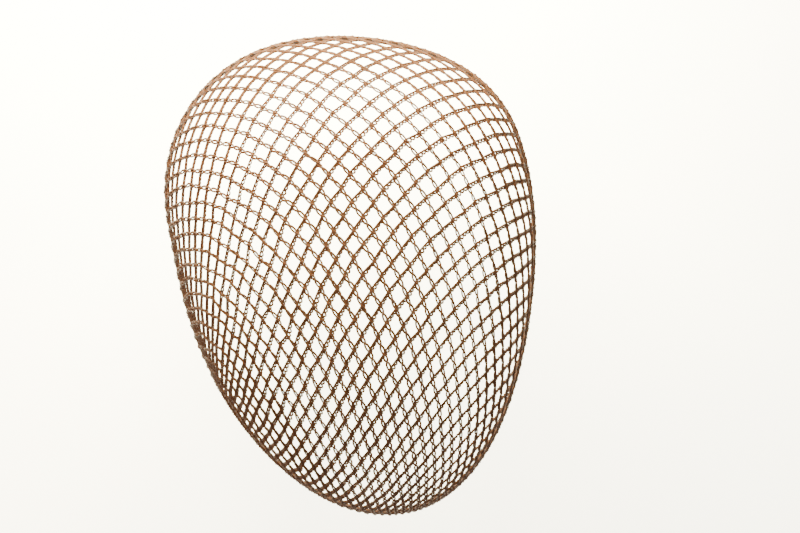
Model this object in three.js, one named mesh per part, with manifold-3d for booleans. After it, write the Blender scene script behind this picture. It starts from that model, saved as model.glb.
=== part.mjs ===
// Hairnet: a diamond-mesh cap in its worn, head-shaped form, with its elastic hem.
// Millimetres, +Z up. The forehead is at -Y and the nape at +Y.
// The origin is under the crown, where the top of a head bears on the net.

import * as THREE from 'three';
import Module from 'manifold-3d';

// Head form: level rings of one egg-shaped outline, widest at the level of the forehead
const HALF_WIDTH = 76;          // centre of the widest ring to its side
const BACK_REACH = 62.5;        // centre of the widest ring to its back
const FRONT_REACH = 142.5;      // centre of the widest ring to its front
const BACK_SQUARENESS = 2.15;   // superellipse power of the back half, 2 is an ellipse
const FRONT_SQUARENESS = 2;     // superellipse power of the front half
const CORNER_RISE = 0.04;       // three soft corners, as a share of the outline's radius
const CORNER_TURN = 110;        // degrees from +X to one of the soft corners
const CROWN_TO_WIDEST = 100;    // height from the crown down to the widest ring
const WIDEST_TO_HEM = 2;        // height from the widest ring down to the net's cut edge
const CROWN_FORWARD = 12;       // the crown lies this far in front of the widest ring's centre

// Net: its own axes are turned on the head, and its diamonds stand on their long ends.
// A wale is a column of diamonds and a course is a row of them.
const WALL = 1.6;               // thickness of the net
const STRAND_WIDTH = 3.6;       // width of one strand of the solid
const STEPS_PER_SIDE = 2;       // straight lengths along each side of a gap
const NET_TURN = 12;            // degrees from the head's axes to the net's

// The solid keeps one real strand in every few, fewer apart where the diamonds are bigger.
// Both families are counted from the two strands that cross at the knot nearest the middle.
const KEPT_RISING = {
  first: -33,
  spans: [
    { upTo: -21, every: 5 },
    { upTo: -6, every: 4 },
    { upTo: 6, every: 3 },
    { upTo: 22, every: 2 },
  ],
};
const KEPT_FALLING = {
  first: -27,
  spans: [{ upTo: -8, every: 3 }, { upTo: 28, every: 4 }],
};

const WALES = {
  first: 0.6,                   // nearest wale of knots to the middle, in wales
  middle: 3.81,                 // middle of the wales to the net's axis
  width: 7.54,                  // width of a diamond in the middle course
  narrowing: 0.4145,            // loss of width for each course towards the front
  easing: 0.0195,               // how that loss fades, for each course squared
  bow: 0.067,                   // sideways drift of the wales for each course squared
  spread: 0.071,                // widening to one side for each wale squared
  spreadFade: 0.012,            // how the widening fades for each course
};

const COURSES = {
  first: 0.05,                  // nearest course of knots to the middle, in courses
  middle: 14.39,                // middle of the courses in front of the crown
  height: 10.77,                // height of a diamond in the middle course
  lengthening: 0.2035,          // gain of height for each course, from the back to the front
  tightening: 0.0099,           // drawing together towards both ends, for each course cubed
  tilt: 0.5375,                 // tilt of the courses for each wale
  arch: 0.2494,                 // drop of a course for each wale squared
  archFade: 0.0198,             // how the arch flattens for each course towards the front
  skew: 0.0937,                 // change of the tilt for each course
  sideDrop: 0.0007,             // further drop at the sides, for each wale to the fourth
};

// Elastic hem: a slim rolled edge that carries on down the form from the net's cut edge
const HEM_THICKNESS = 1.5;
const HEM_HEIGHT = 2.2;
const HEM_SQUARENESS = 2.6;     // superellipse power of its section, 2 is an ellipse
const HEM_STEPS = 72;           // lengths around the opening
const HEM_SIDES = 12;           // sides of its section
const PIECE_GAP = 0.3;          // clearance between the net and its hem

const NET_COLOUR = 0x8a5a38;
const HEM_COLOUR = 0x6b4226;
const FIBRE_ROUGHNESS = 0.75;

const radians = THREE.MathUtils.degToRad;
const HEM_HEIGHT_BELOW_CROWN = CROWN_TO_WIDEST + WIDEST_TO_HEM;
const HEM_FALL = Math.acos(-WIDEST_TO_HEM / CROWN_TO_WIDEST);
const FURTHEST_FALL = 0.8 * Math.PI;

// Radius of the widest ring in the direction of an angle about its centre
function outlineRadius(angle) {
  const isBack = Math.sin(angle) > 0;
  const reach = isBack ? BACK_REACH : FRONT_REACH;
  const power = isBack ? BACK_SQUARENESS : FRONT_SQUARENESS;
  const across = Math.abs(Math.cos(angle)) / HALF_WIDTH;
  const along = Math.abs(Math.sin(angle)) / reach;
  const egg = (across ** power + along ** power) ** (-1 / power);
  return egg * (1 + CORNER_RISE * Math.cos(3 * (angle - radians(CORNER_TURN))));
}

// Point of the form, where fall is 0 at the crown and a quarter turn at the widest ring
function formPoint(angle, fall) {
  const radius = Math.sin(fall) * outlineRadius(angle);
  return new THREE.Vector3(
    radius * Math.cos(angle),
    radius * Math.sin(angle) + CROWN_FORWARD * (1 - Math.cos(fall)),
    WALL / 2 - CROWN_TO_WIDEST * (1 - Math.cos(fall)),
  );
}

// Fall of the form's level at a height, for levels from the crown down
function fallAtHeight(z) {
  return Math.acos(1 - (WALL / 2 - z) / CROWN_TO_WIDEST);
}

// The form spread flat: distance from the crown is the fall times the outline's radius
function spreadFall(x, y) {
  return Math.hypot(x, y) / outlineRadius(Math.atan2(y, x));
}

function spreadPoint(x, y) {
  return formPoint(Math.atan2(y, x), spreadFall(x, y));
}

// Place of a knot of the net on the spread form
function knotOnSpread(wale, course) {
  const across = WALES.middle
    + wale * (WALES.width - WALES.narrowing * course + WALES.easing * course ** 2)
    - WALES.bow * course ** 2
    + wale ** 2 * (WALES.spread - WALES.spreadFade * course);
  const along = COURSES.middle
    + course * (COURSES.height + COURSES.lengthening * course + COURSES.tightening * course ** 2)
    + wale * (COURSES.tilt + COURSES.skew * course)
    + wale ** 2 * (COURSES.arch - COURSES.archFade * course)
    + COURSES.sideDrop * wale ** 4;
  const turn = radians(NET_TURN);
  return new THREE.Vector2(
    across * Math.cos(turn) - along * Math.sin(turn),
    -across * Math.sin(turn) - along * Math.cos(turn),
  );
}

// The net's middle surface, by its count along the two families of strands
function netSpread(u, v) {
  return knotOnSpread((u + v) / 2 + WALES.first, (v - u) / 2 + COURSES.first);
}

function netPoint(u, v) {
  const spread = netSpread(u, v);
  return spreadPoint(spread.x, spread.y);
}

// The two strand directions and the outward normal at a point of the net
function netFrame(u, v) {
  const step = 0.01;
  const along = netPoint(u + step, v).sub(netPoint(u - step, v)).divideScalar(2 * step);
  const across = netPoint(u, v + step).sub(netPoint(u, v - step)).divideScalar(2 * step);
  const normal = new THREE.Vector3().crossVectors(across, along).normalize();
  return { along, across, normal };
}

// How far the side of a gap stands off its strand's middle line, counted in diamonds
function halfStrand(u, v) {
  const { along, across } = netFrame(u, v);
  const area = new THREE.Vector3().crossVectors(along, across).length();
  return {
    u: (STRAND_WIDTH / 2) * across.length() / area,
    v: (STRAND_WIDTH / 2) * along.length() / area,
  };
}

// Collects triangles, sharing each vertex that has the same name
class MeshBuilder {
  constructor() {
    this.positions = [];
    this.indexOf = new Map();
    this.triangles = [];
  }

  vertex(name, point) {
    if (!this.indexOf.has(name)) {
      this.indexOf.set(name, this.positions.length / 3);
      this.positions.push(point.x, point.y, point.z);
    }
    return this.indexOf.get(name);
  }

  quad(a, b, c, d) {
    this.triangles.push(a, b, c, a, c, d);
  }

  geometry() {
    const geometry = new THREE.BufferGeometry();
    geometry.setAttribute('position', new THREE.Float32BufferAttribute(this.positions, 3));
    geometry.setIndex(this.triangles);
    return geometry;
  }
}

// Counts of the strands that one family keeps
function keptCounts({ first, spans }) {
  const counts = [first];
  for (const { upTo, every } of spans) {
    while (counts.at(-1) < upTo) {
      counts.push(counts.at(-1) + every);
    }
  }
  return counts;
}

const RISING = keptCounts(KEPT_RISING);
const FALLING = keptCounts(KEPT_FALLING);

// Steps once around a cell of the lattice, from its first corner, as counts and inward directions
function cellLoop(iu, iv) {
  const [u0, u1] = [RISING[iu], RISING[iu + 1]];
  const [v0, v1] = [FALLING[iv], FALLING[iv + 1]];
  const corners = [[0, 0], [0, 1], [1, 1], [1, 0]];
  const loop = [];
  corners.forEach(([cu, cv], side) => {
    const [nu, nv] = corners[(side + 1) % corners.length];
    for (let step = 0; step < STEPS_PER_SIDE; step += 1) {
      const share = step / STEPS_PER_SIDE;
      const fu = cu + (nu - cu) * share;
      const fv = cv + (nv - cv) * share;
      const atCorner = step === 0;
      const inwardU = atCorner || side % 2 === 0 ? Math.sign(0.5 - cu) : 0;
      const inwardV = atCorner || side % 2 === 1 ? Math.sign(0.5 - cv) : 0;
      loop.push({
        u: u0 + (u1 - u0) * fu,
        v: v0 + (v1 - v0) * fv,
        inwardU,
        inwardV,
      });
    }
  });
  return loop;
}

// The two vertices, outside and inside the wall, of one place on the net
function wallVertices(builder, kind, u, v) {
  const middle = netPoint(u, v);
  const lift = netFrame(u, v).normal.multiplyScalar(WALL / 2);
  const name = `${kind} ${u.toFixed(3)} ${v.toFixed(3)}`;
  return {
    outer: builder.vertex(`outer ${name}`, middle.clone().add(lift)),
    inner: builder.vertex(`inner ${name}`, middle.clone().sub(lift)),
  };
}

// Whether a cell of the lattice reaches above the hem
function cellReachesForm(iu, iv) {
  const falls = cellLoop(iu, iv).map(({ u, v }) => {
    const spread = netSpread(u, v);
    return spreadFall(spread.x, spread.y);
  });
  return Math.min(...falls) < HEM_FALL && Math.max(...falls) < FURTHEST_FALL;
}

// The lattice of strands as one closed body, reaching a little below the hem
function latticeGeometry() {
  const builder = new MeshBuilder();
  const cells = new Map();
  for (let iu = 0; iu < RISING.length - 1; iu += 1) {
    for (let iv = 0; iv < FALLING.length - 1; iv += 1) {
      if (cellReachesForm(iu, iv)) {
        cells.set(`${iu} ${iv}`, [iu, iv]);
      }
    }
  }
  const neighbours = [[-1, 0], [0, 1], [1, 0], [0, -1]];
  for (const [iu, iv] of cells.values()) {
    const loop = cellLoop(iu, iv);
    const edge = loop.map(({ u, v }) => wallVertices(builder, 'strand', u, v));
    const rim = loop.map(({ u, v, inwardU, inwardV }) => {
      const half = halfStrand(u, v);
      return wallVertices(builder, `gap ${iu} ${iv}`, u + inwardU * half.u, v + inwardV * half.v);
    });
    loop.forEach((place, index) => {
      const next = (index + 1) % loop.length;
      builder.quad(edge[index].outer, edge[next].outer, rim[next].outer, rim[index].outer);
      builder.quad(edge[next].inner, edge[index].inner, rim[index].inner, rim[next].inner);
      builder.quad(rim[index].outer, rim[next].outer, rim[next].inner, rim[index].inner);
      const [du, dv] = neighbours[Math.floor(index / STEPS_PER_SIDE)];
      if (!cells.has(`${iu + du} ${iv + dv}`)) {
        builder.quad(edge[next].outer, edge[index].outer, edge[index].inner, edge[next].inner);
      }
    });
  }
  return builder.geometry();
}

// A coordinate of a superellipse of half size 1, from the circle's
function squared(value, squareness) {
  return Math.sign(value) * Math.abs(value) ** (2 / squareness);
}

// The elastic hem: a closed band of rounded section just below the net's cut edge
function hemGeometry() {
  const builder = new MeshBuilder();
  const middleHeight = WALL / 2 - HEM_HEIGHT_BELOW_CROWN - PIECE_GAP - HEM_HEIGHT / 2;
  const ringVertex = (step, side) => {
    const angle = 2 * Math.PI * (step % HEM_STEPS) / HEM_STEPS;
    const around = 2 * Math.PI * ((side % HEM_SIDES) + 0.5) / HEM_SIDES;
    const lift = squared(Math.sin(around), HEM_SQUARENESS) * HEM_HEIGHT / 2;
    const stand = squared(Math.cos(around), HEM_SQUARENESS) * HEM_THICKNESS / 2;
    const outwards = new THREE.Vector3(Math.cos(angle), Math.sin(angle), 0);
    const middle = formPoint(angle, fallAtHeight(middleHeight + lift));
    const point = middle.addScaledVector(outwards, stand);
    return builder.vertex(`${step % HEM_STEPS} ${side % HEM_SIDES}`, point);
  };
  for (let step = 0; step < HEM_STEPS; step += 1) {
    for (let side = 0; side < HEM_SIDES; side += 1) {
      builder.quad(
        ringVertex(step, side),
        ringVertex(step + 1, side),
        ringVertex(step + 1, side + 1),
        ringVertex(step, side + 1),
      );
    }
  }
  return builder.geometry();
}

// A box around all of the form above the hem
function keepGeometry() {
  const margin = 20;
  const reach = FRONT_REACH + BACK_REACH;
  const height = HEM_HEIGHT_BELOW_CROWN + margin;
  const box = new THREE.BoxGeometry(2 * reach, 2 * reach, height);
  box.translate(0, 0, WALL / 2 - HEM_HEIGHT_BELOW_CROWN + height / 2);
  return box;
}

const manifold = await Module();
manifold.setup();

// A closed geometry as a solid, with the vertices that coincide joined
function solidOf(geometry) {
  const position = geometry.getAttribute('position');
  const index = geometry.getIndex();
  const joined = new Map();
  const points = [];
  const remap = [];
  for (let i = 0; i < position.count; i += 1) {
    const point = [position.getX(i), position.getY(i), position.getZ(i)];
    const key = point.map((value) => value.toFixed(4)).join(' ');
    if (!joined.has(key)) {
      joined.set(key, points.length / 3);
      points.push(...point);
    }
    remap.push(joined.get(key));
  }
  return new manifold.Manifold(new manifold.Mesh({
    numProp: 3,
    vertProperties: new Float32Array(points),
    triVerts: new Uint32Array(Array.from(index.array, (i) => remap[i])),
  }));
}

function geometryOf(solid) {
  const mesh = solid.getMesh();
  const geometry = new THREE.BufferGeometry();
  const positions = [];
  for (let i = 0; i < mesh.vertProperties.length; i += mesh.numProp) {
    positions.push(...mesh.vertProperties.slice(i, i + 3));
  }
  geometry.setAttribute('position', new THREE.Float32BufferAttribute(positions, 3));
  geometry.setIndex(Array.from(mesh.triVerts));
  return geometry;
}

function fibreMaterial(color) {
  return new THREE.MeshStandardMaterial({ color, roughness: FIBRE_ROUGHNESS, metalness: 0 });
}

function netMesh() {
  const cut = solidOf(latticeGeometry()).intersect(solidOf(keepGeometry()));
  const mesh = new THREE.Mesh(geometryOf(cut), fibreMaterial(NET_COLOUR));
  mesh.name = 'net';
  return mesh;
}

function hemMesh() {
  const mesh = new THREE.Mesh(hemGeometry(), fibreMaterial(HEM_COLOUR));
  mesh.name = 'elastic_hem';
  return mesh;
}

const hairnet = new THREE.Group();
hairnet.name = 'hairnet';
hairnet.add(netMesh(), hemMesh());

export default hairnet;
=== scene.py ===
import math

import bpy
import numpy as np
from mathutils import Matrix, Vector


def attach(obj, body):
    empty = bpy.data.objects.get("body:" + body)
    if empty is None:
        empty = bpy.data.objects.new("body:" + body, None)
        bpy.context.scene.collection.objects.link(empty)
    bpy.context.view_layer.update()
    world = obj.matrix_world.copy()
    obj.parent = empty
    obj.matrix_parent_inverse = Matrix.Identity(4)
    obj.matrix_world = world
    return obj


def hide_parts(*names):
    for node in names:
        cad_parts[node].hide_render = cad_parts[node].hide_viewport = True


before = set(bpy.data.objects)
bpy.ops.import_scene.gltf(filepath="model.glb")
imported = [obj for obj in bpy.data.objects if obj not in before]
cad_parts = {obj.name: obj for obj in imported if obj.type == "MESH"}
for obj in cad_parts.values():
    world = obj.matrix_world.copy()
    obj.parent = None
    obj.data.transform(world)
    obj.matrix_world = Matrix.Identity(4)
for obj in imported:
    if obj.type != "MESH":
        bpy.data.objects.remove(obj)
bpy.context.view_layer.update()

MM = 0.001

# The camera looks down on the crown, from a little in front of it and with the nape at the top.
CAMERA_TARGET = Vector((0.01595, -0.03017, -0.080))
CAMERA_ELEVATION = math.radians(84)
CAMERA_AZIMUTH = math.radians(-14.66)
CAMERA_DISTANCE = 0.9
CAMERA_LENS = 98.2

# The form that the net is stretched over, in millimetres.
HALF_WIDTH = 76
BACK_REACH = 62.5
FRONT_REACH = 142.5
BACK_SQUARENESS = 2.15
FRONT_SQUARENESS = 2
CORNER_RISE = 0.04
CORNER_TURN = math.radians(110)
CROWN_TO_WIDEST = 100
WIDEST_TO_HEM = 2
CROWN_FORWARD = 12
WALL = 1.6
HEM_FALL = math.acos(-WIDEST_TO_HEM / CROWN_TO_WIDEST)

# How the knots lie on the net when it is spread flat.
NET_TURN = math.radians(12)
WALES = {
    "first": 0.6,
    "middle": 3.81,
    "width": 7.54,
    "narrowing": 0.4145,
    "easing": 0.0195,
    "bow": 0.067,
    "spread": 0.071,
    "spread_fade": 0.012,
}
COURSES = {
    "first": 0.05,
    "middle": 14.39,
    "height": 10.77,
    "lengthening": 0.2035,
    "tightening": 0.0099,
    "tilt": 0.5375,
    "arch": 0.2494,
    "arch_fade": 0.0198,
    "skew": 0.0937,
    "side_drop": 0.0007,
}
FURTHEST_WALE = 18
FURTHEST_COURSE = 14.5
FURTHEST_COUNT = 34
NORMAL_STEP = 0.05
ROUNDING = 1e-9

# A rising strand gains a course with each wale, so it runs to the wearer's left and forwards.
# A falling strand loses one, and runs to the wearer's left and backwards.
FAMILIES = ("rising", "falling")
RUN_STEPS = 24
SHORTEST_RUN = 0.12
MEETS_HEM_WITHIN = 0.05
KNOT_CLEAR_OF_HEM = 0.01

# The two yarns of a strand, in millimetres. They touch and part along each side of a diamond.
MAIN_RADIUS = 0.45
SECOND_RADIUS = 0.4
YARN_SIDES = 4
YARN_STEPS = 24
MAIN_EVERY = {"rising": 2, "falling": 3}
EYE_WIDTH = {"rising": 1.18, "falling": 1.45}
EYE_FULLNESS = 0.6
SECOND_RISE = 0.4
FAMILY_LEVEL = 0.12
FULL_SIDE = 7.0
EYE_SCALE = (0.3, 1.15)
EYE_SWELL = (0.75, 1.15)
# Along a falling strand the second yarn stands off to the right of the main one, in short eyes.
EYES_PER_SIDE = 4
FIRST_EYE = 1 / 24
WIDEST_EYE = 0.18
EYE_FADE = 0.3
MAIN_SHIFT = 0.25
# Along a rising strand the two yarns change places once on each side.
CROSSING = 0.42
JOIN = 0.045
JOIN_EASE = 0.03

# The small tie at each knot, in millimetres.
KNOT_HALF_WIDTH = 0.32
KNOT_HALF_HEIGHT = 0.38
KNOT_SLANT = 0.3
KNOT_RADIUS = 0.12
KNOT_STEPS = 8
KNOT_SIDES = 4
KNOT_SWELL = (0.85, 1.15)
KNOT_FIRST_TURN = (0, 6)
KNOT_REACH = 0.1

# Which of a piece's materials each tube has.
MAIN, SECOND, KNOT = 0, 1, 2
COVER, TIE = 0, 1

# The elastic hem, in millimetres: a slim elastic wrapped in yarn, just below the net's edge.
HEM_THICKNESS = 1.35
HEM_HEIGHT = 2.1
HEM_SQUARENESS = 2.4
HEM_DROP = 1.4
HEM_MIDDLE = WALL / 2 - CROWN_TO_WIDEST - WIDEST_TO_HEM - HEM_DROP
HEM_WRAPS = 640
HEM_STEPS_PER_WRAP = 5
HEM_SIDES = 12
WRAP_DEPTH = 0.16
HEM_WAVES = ({"height": 0.12, "count": 37}, {"height": 0.07, "count": 101})
EDGE_REACH = 1.2
STITCH_RADIUS = 0.2
STITCH_STEPS = 12
STITCH_SIDES = 4
STITCH_TURN = 0.002
STITCH_HEIGHT = 0.1
STITCH_STAND = 0.05
STITCH_SLANT = 0.4

# The net is made in six pieces, split where these lines cross it.
REGION_SPLIT_X = -6.0
REGION_SPLIT_Y = (-62.0, -14.0)

# The flat size of the knit of each piece before it is stretched, in metres.
REGION_FLAT = {
    "net_front_left": (0.1, 0.075),
    "net_front_right": (0.1, 0.075),
    "net_middle_left": (0.09, 0.075),
    "net_middle_right": (0.09, 0.075),
    "net_back_left": (0.095, 0.08),
    "net_back_right": (0.095, 0.08),
}

# Yarn: shades of the dye, its gloss, the light that comes through it and the twist of its plies.
SPECULAR = 0.04
SHEEN = 0.1
SHEEN_ROUGHNESS = 0.4
DYE_SCALE = 160
DYE_DETAIL = 3
PLY_SCALE = 1.2
PLY_DISTORTION = 1.5
PLY_BUMP = 0.5
PLY_DEPTH = 0.0001
YARN_LOOKS = {
    "main_yarn": {
        "colour": (0.02, 0.0077, 0.0031),
        "light_colour": (0.048, 0.0182, 0.0072),
        "roughness": 0.6,
        "glow_through": 0.05,
    },
    "second_yarn": {
        "colour": (0.028, 0.0114, 0.0052),
        "light_colour": (0.056, 0.0235, 0.0106),
        "roughness": 0.5,
        "glow_through": 0.1,
    },
    "knot_yarn": {
        "colour": (0.0185, 0.0071, 0.0029),
        "light_colour": (0.041, 0.0156, 0.0062),
        "roughness": 0.65,
        "glow_through": 0.05,
    },
    "elastic_cover": {
        "colour": (0.04, 0.016, 0.0055),
        "light_colour": (0.078, 0.032, 0.011),
        "roughness": 0.7,
        "glow_through": 0.0,
    },
}

# The stage, in metres and watts.
FLOOR_HEIGHT = -0.2
FLOOR_SIZE = 6
FLOOR_COLOUR = (0.93, 0.93, 0.92)
FLOOR_ROUGHNESS = 0.9
WORLD_STRENGTH = 1.4
LIGHTS = {
    "key": {
        "place": (0.0, 0.34, 0.24),
        "aim": (0, 0.03, -0.08),
        "size": 0.3,
        "power": 8,
        "colour": (1, 0.88, 0.7),
    },
    "nape": {
        "place": (0.02, 0.28, 0.08),
        "aim": (0, 0.06, -0.05),
        "size": 0.3,
        "power": 32,
        "colour": (1, 0.93, 0.62),
    },
    "ceiling": {
        "place": (-0.1, 0.1, 1.3),
        "aim": (0, 0, -0.08),
        "size": 0.8,
        "power": 8,
        "colour": (1, 0.96, 0.92),
    },
    "left": {
        "place": (-0.7, 0.0, 0.4),
        "aim": (0, 0, -0.08),
        "size": 0.5,
        "power": 11,
        "colour": (1, 0.8, 0.6),
    },
    "right": {
        "place": (0.8, -0.3, 0.5),
        "aim": (0, 0, -0.08),
        "size": 0.5,
        "power": 9,
        "colour": (0.6, 0.82, 1),
    },
}

rng = np.random.default_rng(11)

# Each knot has slipped a little, and more where the net is bunched, at the front left.
SLIP_REACH = 40
SLIP_SIZE = 0.032
BUNCH_SLIP_SIZE = 0.07
BUNCH_AT = (-18, -6)
BUNCH_REACH = 9
counts = np.arange(-SLIP_REACH, SLIP_REACH + 1)
bunched = np.exp(
    -(
        (counts[:, None] - BUNCH_AT[0]) ** 2
        + (counts[None, :] - BUNCH_AT[1]) ** 2
    )
    / (2 * BUNCH_REACH**2)
)
SLIP = rng.normal(0, 1, (len(counts), len(counts), 2))
SLIP *= (SLIP_SIZE + BUNCH_SLIP_SIZE * bunched)[..., None]


def set_camera():
    """Places the camera at the photo's viewing angle."""
    back = Vector(
        (
            math.sin(CAMERA_AZIMUTH) * math.cos(CAMERA_ELEVATION),
            -math.cos(CAMERA_AZIMUTH) * math.cos(CAMERA_ELEVATION),
            math.sin(CAMERA_ELEVATION),
        )
    )
    right = Vector((math.cos(CAMERA_AZIMUTH), math.sin(CAMERA_AZIMUTH), 0))
    up = back.cross(right)
    data = bpy.data.cameras.new("camera")
    data.sensor_fit = "HORIZONTAL"
    data.sensor_width = 36
    data.lens = CAMERA_LENS
    camera = bpy.data.objects.new("camera", data)
    place = CAMERA_TARGET + back * CAMERA_DISTANCE
    camera.matrix_world = Matrix(
        (
            (right.x, up.x, back.x, place.x),
            (right.y, up.y, back.y, place.y),
            (right.z, up.z, back.z, place.z),
            (0, 0, 0, 1),
        )
    )
    bpy.context.scene.collection.objects.link(camera)
    bpy.context.scene.camera = camera


def outline_radius(angle):
    """How far the form reaches from its axis at its widest level, at each angle."""
    across, along = np.abs(np.cos(angle)), np.abs(np.sin(angle))
    front = np.sin(angle) <= 0
    reach = np.where(front, FRONT_REACH, BACK_REACH)
    power = np.where(front, FRONT_SQUARENESS, BACK_SQUARENESS)
    egg = ((across / HALF_WIDTH) ** power + (along / reach) ** power) ** (-1 / power)
    return egg * (1 + CORNER_RISE * np.cos(3 * (angle - CORNER_TURN)))


def form_point(angle, fall):
    """A point of the form, at an angle round its axis and a fall from the crown."""
    level = np.sin(fall) * outline_radius(angle)
    down = 1 - np.cos(fall)
    return np.stack(
        [
            level * np.cos(angle),
            level * np.sin(angle) + CROWN_FORWARD * down,
            WALL / 2 - CROWN_TO_WIDEST * down,
        ],
        axis=-1,
    )


def knot_on_spread(wale, course):
    """Where a knot lies when the net is spread flat."""
    w, k = WALES, COURSES
    across = (
        w["middle"]
        + wale * (w["width"] - w["narrowing"] * course + w["easing"] * course**2)
        - w["bow"] * course**2
        + wale**2 * (w["spread"] - w["spread_fade"] * course)
    )
    along = (
        k["middle"]
        + course * (k["height"] + k["lengthening"] * course + k["tightening"] * course**2)
        + wale * (k["tilt"] + k["skew"] * course)
        + wale**2 * (k["arch"] - k["arch_fade"] * course)
        + k["side_drop"] * wale**4
    )
    turn_cos, turn_sin = math.cos(NET_TURN), math.sin(NET_TURN)
    return across * turn_cos - along * turn_sin, -across * turn_sin - along * turn_cos


def uneven(u, v):
    """How far the net has slipped at strand counts u and v, counted in strands."""
    low_u, low_v = np.floor(u).astype(int), np.floor(v).astype(int)
    share_u, share_v = (u - low_u)[..., None], (v - low_v)[..., None]
    low_u, low_v = low_u + SLIP_REACH, low_v + SLIP_REACH
    near = SLIP[low_u, low_v] * (1 - share_v) + SLIP[low_u, low_v + 1] * share_v
    far = SLIP[low_u + 1, low_v] * (1 - share_v) + SLIP[low_u + 1, low_v + 1] * share_v
    slip = near * (1 - share_u) + far * share_u
    return slip[..., 0], slip[..., 1]


def net_place(u, v):
    """The point of the form at strand counts u and v, and its fall from the crown."""
    slip_u, slip_v = uneven(u, v)
    u, v = u + slip_u, v + slip_v
    x, y = knot_on_spread((u + v) / 2 + WALES["first"], (v - u) / 2 + COURSES["first"])
    angle = np.arctan2(y, x)
    fall = np.hypot(x, y) / outline_radius(angle)
    return form_point(angle, fall), fall


def outward_normal(u, v):
    """The direction out of the form at strand counts u and v."""
    along_v = net_place(u, v + NORMAL_STEP)[0] - net_place(u, v - NORMAL_STEP)[0]
    along_u = net_place(u + NORMAL_STEP, v)[0] - net_place(u - NORMAL_STEP, v)[0]
    normal = np.cross(along_v, along_u)
    return normal / np.linalg.norm(normal, axis=-1, keepdims=True)


class Yarns:
    """Collects tubes into one mesh with a material for each yarn and coordinates along it."""

    def __init__(self):
        self.points = []
        self.faces = []
        self.kinds = []
        self.coordinates = []
        self.count = 0

    def tube(self, line, reference, radius, sides, kind, closed=False):
        """Adds a tube along a line. reference is a direction beside the line at each point."""
        if closed:
            tangent = np.roll(line, -1, axis=0) - np.roll(line, 1, axis=0)
        else:
            tangent = np.gradient(line, axis=0)
        tangent /= np.linalg.norm(tangent, axis=1, keepdims=True)
        up = reference - tangent * np.sum(reference * tangent, axis=1, keepdims=True)
        up /= np.linalg.norm(up, axis=1, keepdims=True)
        beside = np.cross(tangent, up)
        turn = np.arange(sides) * 2 * math.pi / sides
        rings = line[:, None, :] + radius * (
            up[:, None, :] * np.cos(turn)[None, :, None]
            + beside[:, None, :] * np.sin(turn)[None, :, None]
        )
        self.rings(rings, kind, closed)

    def rings(self, rings, kind, closed=False):
        """Adds a skin over rings of points, with its ends closed or joined."""
        steps, sides = rings.shape[:2]
        line = rings.mean(axis=1)
        run = np.concatenate([[0], np.cumsum(np.linalg.norm(np.diff(line, axis=0), axis=1))])
        spans = steps if closed else steps - 1
        here = np.arange(spans)[:, None] * sides + np.arange(sides)[None, :]
        beyond = (here + sides) % (steps * sides)
        turned = np.arange(spans)[:, None] * sides + (np.arange(sides)[None, :] + 1) % sides
        corner = (turned + sides) % (steps * sides)
        quads = np.stack([here, turned, corner, beyond], axis=-1).reshape(-1, 4)
        self.points.append(rings.reshape(-1, 3))
        self.faces.append((quads + self.count).tolist())
        run_here = np.repeat(run[:spans], sides)
        run_next = np.append(run, run[-1] + (run[-1] - run[-2]))[1 : spans + 1]
        run_next = np.repeat(run_next, sides)
        side_here = np.tile(np.arange(sides) / sides, spans)
        side_next = side_here + 1 / sides
        self.coordinates.append(
            np.stack(
                [
                    *(run_here, side_here),
                    *(run_here, side_next),
                    *(run_next, side_next),
                    *(run_next, side_here),
                ],
                axis=-1,
            ).reshape(-1, 2)
        )
        self.kinds.extend([kind] * len(quads))
        if not closed:
            first = (np.arange(sides)[::-1] + self.count).tolist()
            last = (np.arange(sides) + (steps - 1) * sides + self.count).tolist()
            self.faces.append([first, last])
            self.coordinates.append(np.zeros((2 * sides, 2)))
            self.kinds.extend([kind, kind])
        self.count += steps * sides

    def build(self, name, materials):
        """Makes the object, smooth shaded."""
        mesh = bpy.data.meshes.new(name)
        faces = [face for group in self.faces for face in group]
        mesh.from_pydata((np.concatenate(self.points) * MM).tolist(), [], faces)
        layer = mesh.uv_layers.new(name="along_yarn")
        layer.data.foreach_set("uv", np.concatenate(self.coordinates).astype(np.float32).ravel())
        mesh.polygons.foreach_set("material_index", self.kinds)
        mesh.polygons.foreach_set("use_smooth", [True] * len(faces))
        for material in materials:
            mesh.materials.append(material)
        mesh.update()
        made = bpy.data.objects.new(name, mesh)
        bpy.context.scene.collection.objects.link(made)
        return made


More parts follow.
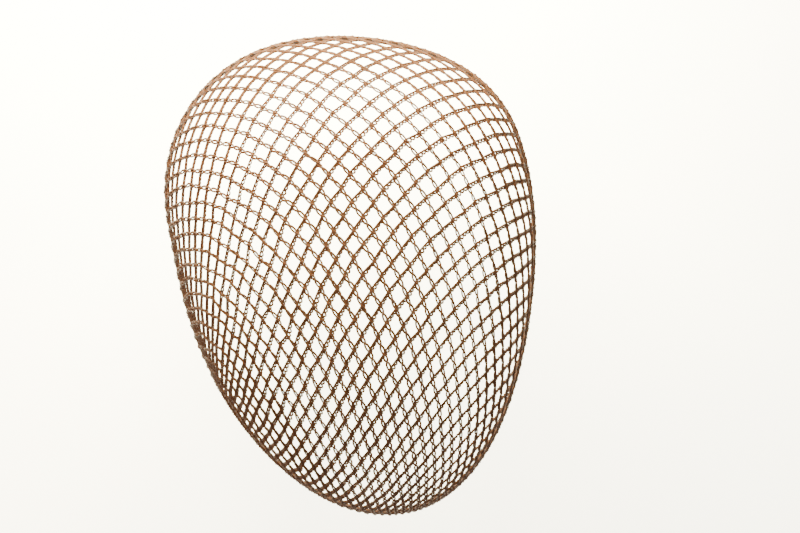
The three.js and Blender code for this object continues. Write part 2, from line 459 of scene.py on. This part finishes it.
def yarn_material(name, colour, light_colour, roughness, glow_through):
    """A fibrous yarn: twisted plies, uneven dye and a soft sheen."""
    material = bpy.data.materials.new(name)
    material.use_nodes = True
    nodes, links = material.node_tree.nodes, material.node_tree.links
    shader = nodes["Principled BSDF"]
    shader.inputs["Base Color"].default_value = (*colour, 1)
    shader.inputs["Roughness"].default_value = roughness
    shader.inputs["Specular IOR Level"].default_value = SPECULAR
    shader.inputs["Sheen Weight"].default_value = SHEEN
    shader.inputs["Sheen Roughness"].default_value = SHEEN_ROUGHNESS
    shader.inputs["Sheen Tint"].default_value = (*light_colour, 1)

    place = nodes.new("ShaderNodeTexCoord")
    noise = nodes.new("ShaderNodeTexNoise")
    noise.inputs["Scale"].default_value = DYE_SCALE
    noise.inputs["Detail"].default_value = DYE_DETAIL
    links.new(place.outputs["Object"], noise.inputs["Vector"])
    dye = nodes.new("ShaderNodeMix")
    dye.data_type = "RGBA"
    dye.inputs["A"].default_value = (*colour, 1)
    dye.inputs["B"].default_value = (*light_colour, 1)
    links.new(noise.outputs["Fac"], dye.inputs["Factor"])
    links.new(dye.outputs["Result"], shader.inputs["Base Color"])

    plies = nodes.new("ShaderNodeTexWave")
    plies.bands_direction = "DIAGONAL"
    plies.inputs["Scale"].default_value = PLY_SCALE
    plies.inputs["Distortion"].default_value = PLY_DISTORTION
    links.new(place.outputs["UV"], plies.inputs["Vector"])
    bump = nodes.new("ShaderNodeBump")
    bump.inputs["Strength"].default_value = PLY_BUMP
    bump.inputs["Distance"].default_value = PLY_DEPTH
    links.new(plies.outputs["Fac"], bump.inputs["Height"])
    links.new(bump.outputs["Normal"], shader.inputs["Normal"])

    through = nodes.new("ShaderNodeBsdfTranslucent")
    through.inputs["Color"].default_value = (*light_colour, 1)
    blend = nodes.new("ShaderNodeMixShader")
    blend.inputs["Fac"].default_value = glow_through
    links.new(shader.outputs["BSDF"], blend.inputs[1])
    links.new(through.outputs["BSDF"], blend.inputs[2])
    links.new(blend.outputs["Shader"], nodes["Material Output"].inputs["Surface"])
    return material


def strand_points(family, count, along):
    """Strand counts u and v along one strand of the rising or the falling family."""
    fixed = np.full_like(along, float(count))
    return (fixed, along) if family == "rising" else (along, fixed)


def joined_points(family, count, along):
    """The same, where two strands run side by side along the wale for a short length at a knot."""
    whole = np.floor(along)
    share = along - whole
    shares = [
        np.clip((share + ease - JOIN) / (1 - 2 * JOIN), 0, 1)
        for ease in (-JOIN_EASE, 0, JOIN_EASE)
    ]
    across = (whole + sum(shares) / len(shares)) / 2
    upward = along / 2
    if family == "rising":
        wale, course = count / 2 + across, upward - count / 2
    else:
        wale, course = count / 2 + across, count / 2 - upward
    return wale - course, wale + course


def region_of(point):
    """Which piece of the net a point belongs to."""
    row = sum(point[1] > split for split in REGION_SPLIT_Y)
    return row * 2 + int(point[0] > REGION_SPLIT_X)


def strand_runs(family, count):
    """The stretches of one strand inside the hem, each within one region: (region, from, to)."""
    last = FURTHEST_COUNT * RUN_STEPS
    along = np.arange(-last, last + 1) / RUN_STEPS
    u, v = strand_points(family, count, along)
    places, fall = net_place(u, v)
    inside = fall < HEM_FALL + EDGE_REACH / CROWN_TO_WIDEST
    inside &= np.abs((u + v) / 2) < FURTHEST_WALE
    inside &= np.abs((v - u) / 2) < FURTHEST_COURSE
    runs = []
    start = None
    for i in range(len(along)):
        whole = abs(along[i] - round(along[i])) < ROUNDING
        if inside[i] and start is None:
            start = i
        ends = start is not None and (not inside[i] or i == len(along) - 1)
        if start is not None and whole and inside[i] and i > start:
            here = region_of(places[max(start, i - RUN_STEPS // 2)])
            after = region_of(places[min(len(along) - 1, i + RUN_STEPS // 2)])
            ends = ends or here != after
        if ends:
            if along[i] - along[start] > SHORTEST_RUN:
                runs.append((region_of(places[(start + i) // 2]), along[start], along[i]))
            start = i if inside[i] else None
    return runs


def yarn_offsets(family, share):
    """How far the main and the second yarn stand to the left of a strand, in widths of an eye."""
    if family == "falling":
        eye = np.abs(np.cos(EYES_PER_SIDE * math.pi * (share - FIRST_EYE))) ** EYE_FULLNESS
        fade = 1 - EYE_FADE * (0.5 - 0.5 * np.cos(2 * math.pi * (share - WIDEST_EYE)))
        return np.full_like(share, MAIN_SHIFT), MAIN_SHIFT - eye * fade
    before = np.sin(math.pi * np.clip(share / CROSSING, 0, 1)) ** EYE_FULLNESS
    after = np.sin(math.pi * np.clip((share - CROSSING) / (1 - CROSSING), 0, 1)) ** EYE_FULLNESS
    return (after - before) / 2, (before - after) / 2


def add_strand(yarns, family, count, start, end, sizes):
    """Adds the two yarns of one stretch of strand."""
    side = 1 if family == "rising" else -1
    level, rise = side * FAMILY_LEVEL, side * SECOND_RISE
    along = np.linspace(start, end, max(3, int(round((end - start) * YARN_STEPS)) + 1))
    u, v = joined_points(family, count, along)
    place, _ = net_place(u, v)
    normal = outward_normal(u, v)
    tangent = np.gradient(place, axis=0)
    tangent /= np.linalg.norm(tangent, axis=1, keepdims=True)
    left = np.cross(normal, tangent)
    side_length = np.interp(along, sizes["knot"], sizes["length"])
    width = EYE_WIDTH[family] * np.clip(side_length / FULL_SIDE, *EYE_SCALE)
    width = width * np.interp(along, sizes["knot"], sizes["swell"])
    main, second = yarn_offsets(family, along - np.floor(along + ROUNDING))
    parted = np.abs(second - main)
    line = place + left * (main * width)[:, None] + normal * level
    kept = np.unique(np.append(np.arange(0, len(line), MAIN_EVERY[family]), len(line) - 1))
    yarns.tube(line[kept], normal[kept], MAIN_RADIUS, YARN_SIDES, MAIN)
    lift = level + rise * (1 - parted)
    line = place + left * (second * width)[:, None] + normal * lift[:, None]
    yarns.tube(line, normal, SECOND_RADIUS, YARN_SIDES, SECOND)


def add_knot(yarns, u, v):
    """Adds the small knot where two strands cross."""
    at_u, at_v = np.array([float(u)]), np.array([float(v)])
    place = net_place(at_u, at_v)[0][0]
    normal = outward_normal(at_u, at_v)[0]
    front = net_place(at_u - KNOT_REACH, at_v + KNOT_REACH)[0][0]
    back = net_place(at_u + KNOT_REACH, at_v - KNOT_REACH)[0][0]
    ahead = front - back
    ahead /= np.linalg.norm(ahead)
    across = np.cross(normal, ahead)
    turn = np.arange(KNOT_STEPS) * 2 * math.pi / KNOT_STEPS + rng.uniform(*KNOT_FIRST_TURN)
    swell = rng.uniform(*KNOT_SWELL)
    lean = rng.uniform(-1, 1)
    line = (
        place
        + across * (KNOT_HALF_WIDTH * swell * np.cos(turn))[:, None]
        + normal * (KNOT_HALF_HEIGHT * np.sin(turn))[:, None]
        + ahead * (KNOT_SLANT * lean * np.sin(turn))[:, None]
    )
    reference = np.tile(ahead, (KNOT_STEPS, 1))
    yarns.tube(line, reference, KNOT_RADIUS, KNOT_SIDES, KNOT, closed=True)


def side_sizes(family, count):
    """The length of each side along one strand, and how much its eyes swell."""
    knots = np.arange(-FURTHEST_COUNT - 1, FURTHEST_COUNT + 2).astype(float)
    u, v = strand_points(family, count, knots)
    places, _ = net_place(u, v)
    gaps = np.linalg.norm(np.diff(places, axis=0), axis=1)
    return {
        "knot": knots,
        "length": np.append(gaps, gaps[-1]),
        "swell": rng.uniform(*EYE_SWELL, len(knots)),
    }


def build_net(materials):
    """The fine net, a piece for each region, and the angles at which strands meet the hem."""
    regions = [Yarns() for _ in REGION_FLAT]
    counts_here = range(-FURTHEST_COUNT, FURTHEST_COUNT + 1)
    meets = []
    for family in FAMILIES:
        for count in counts_here:
            sizes = side_sizes(family, count)
            for region, start, end in strand_runs(family, count):
                add_strand(regions[region], family, count, start, end, sizes)
                for edge in (start, end):
                    u, v = strand_points(family, count, np.array([edge]))
                    place, fall = net_place(u, v)
                    if fall[0] > HEM_FALL - MEETS_HEM_WITHIN:
                        meets.append(math.atan2(place[0][1] - CROWN_FORWARD, place[0][0]))
    for u in counts_here:
        for v in counts_here:
            if abs(u + v) / 2 > FURTHEST_WALE or abs(v - u) / 2 > FURTHEST_COURSE:
                continue
            place, fall = net_place(np.array([float(u)]), np.array([float(v)]))
            if fall[0] < HEM_FALL - KNOT_CLEAR_OF_HEM:
                add_knot(regions[region_of(place[0])], u, v)
    pieces = [yarns.build(name, materials) for name, yarns in zip(REGION_FLAT, regions)]
    return pieces, sorted(meets)


def fall_at_height(z):
    """The fall of the form's level at a height, in millimetres."""
    return np.arccos(1 - (WALL / 2 - z) / CROWN_TO_WIDEST)


def hem_point(angle, height, stand):
    """A point of the hem, at a height above its middle and standing off its middle surface."""
    z = HEM_MIDDLE + height
    place = form_point(angle, fall_at_height(z))
    outwards = np.stack([np.cos(angle), np.sin(angle), np.zeros_like(angle)], axis=-1)
    return place + outwards * np.asarray(stand)[..., None]


def squared(value, squareness):
    """A coordinate of a superellipse of half size 1, from the circle's."""
    return np.sign(value) * np.abs(value) ** (2 / squareness)


def build_hem(materials, meets):
    """The elastic with its slanting wraps, and a tie of the net's yarn at each strand end."""
    yarns = Yarns()
    steps = HEM_WRAPS * HEM_STEPS_PER_WRAP
    angle = np.arange(steps)[:, None] * 2 * math.pi / steps
    around = (np.arange(HEM_SIDES)[None, :] + 0.5) * 2 * math.pi / HEM_SIDES
    groove = WRAP_DEPTH * (0.5 + 0.5 * np.cos(angle * HEM_WRAPS + around))
    lift = squared(np.sin(around), HEM_SQUARENESS) * (HEM_HEIGHT / 2 - groove)
    for wave in HEM_WAVES:
        lift = lift + wave["height"] * np.sin(angle * wave["count"])
    stand = squared(np.cos(around), HEM_SQUARENESS) * (HEM_THICKNESS / 2 - groove)
    rings = hem_point(angle + 0 * around, lift, stand)
    yarns.rings(rings, COVER, closed=True)
    for meet in meets:
        near = np.array([meet - STITCH_TURN, meet, meet + STITCH_TURN])
        here = hem_point(near, np.full(3, STITCH_HEIGHT), np.zeros(3))
        forward = here[2] - here[0]
        forward /= np.linalg.norm(forward)
        outward = np.cross(forward, [0, 0, 1.0])
        turn = np.arange(STITCH_STEPS) * 2 * math.pi / STITCH_STEPS
        line = (
            here[1]
            + outward * ((HEM_THICKNESS / 2 + STITCH_STAND) * np.cos(turn))[:, None]
            + np.array([0, 0, 1.0]) * ((HEM_HEIGHT / 2 + STITCH_STAND) * np.sin(turn))[:, None]
            + forward * (STITCH_SLANT * np.sin(turn))[:, None]
        )
        reference = np.tile(forward, (STITCH_STEPS, 1))
        yarns.tube(line, reference, STITCH_RADIUS, STITCH_SIDES, TIE, closed=True)
    return yarns.build("hem_roll", materials)


def build_stage():
    """A plain pale floor, and soft studio light from the nape's side."""
    floor_material = bpy.data.materials.new("pale_floor")
    floor_material.use_nodes = True
    shader = floor_material.node_tree.nodes["Principled BSDF"]
    shader.inputs["Base Color"].default_value = (*FLOOR_COLOUR, 1)
    shader.inputs["Roughness"].default_value = FLOOR_ROUGHNESS
    bpy.ops.mesh.primitive_plane_add(size=FLOOR_SIZE, location=(0, 0, FLOOR_HEIGHT))
    floor = bpy.context.object
    floor.name = "floor"
    floor.data.materials.append(floor_material)

    world = bpy.data.worlds.new("studio")
    world.use_nodes = True
    background = world.node_tree.nodes["Background"]
    background.inputs["Color"].default_value = (1, 1, 1, 1)
    background.inputs["Strength"].default_value = WORLD_STRENGTH
    bpy.context.scene.world = world
    for name, row in LIGHTS.items():
        data = bpy.data.lights.new(name, "AREA")
        data.size = row["size"]
        data.energy = row["power"]
        data.color = row["colour"]
        light = bpy.data.objects.new(name, data)
        light.location = row["place"]
        facing = Vector(row["aim"]) - Vector(row["place"])
        light.rotation_euler = facing.to_track_quat("-Z", "Y").to_euler()
        bpy.context.scene.collection.objects.link(light)


set_camera()
build_stage()

materials = {name: yarn_material(name, **look) for name, look in YARN_LOOKS.items()}
net_materials = [materials[name] for name in ("main_yarn", "second_yarn", "knot_yarn")]
hem_materials = [materials[name] for name in ("elastic_cover", "main_yarn")]

net_pieces, strand_ends = build_net(net_materials)
for piece in net_pieces:
    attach(piece, "root")
    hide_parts("net")

hem = build_hem(hem_materials, strand_ends)
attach(hem, "root")
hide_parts("elastic_hem")
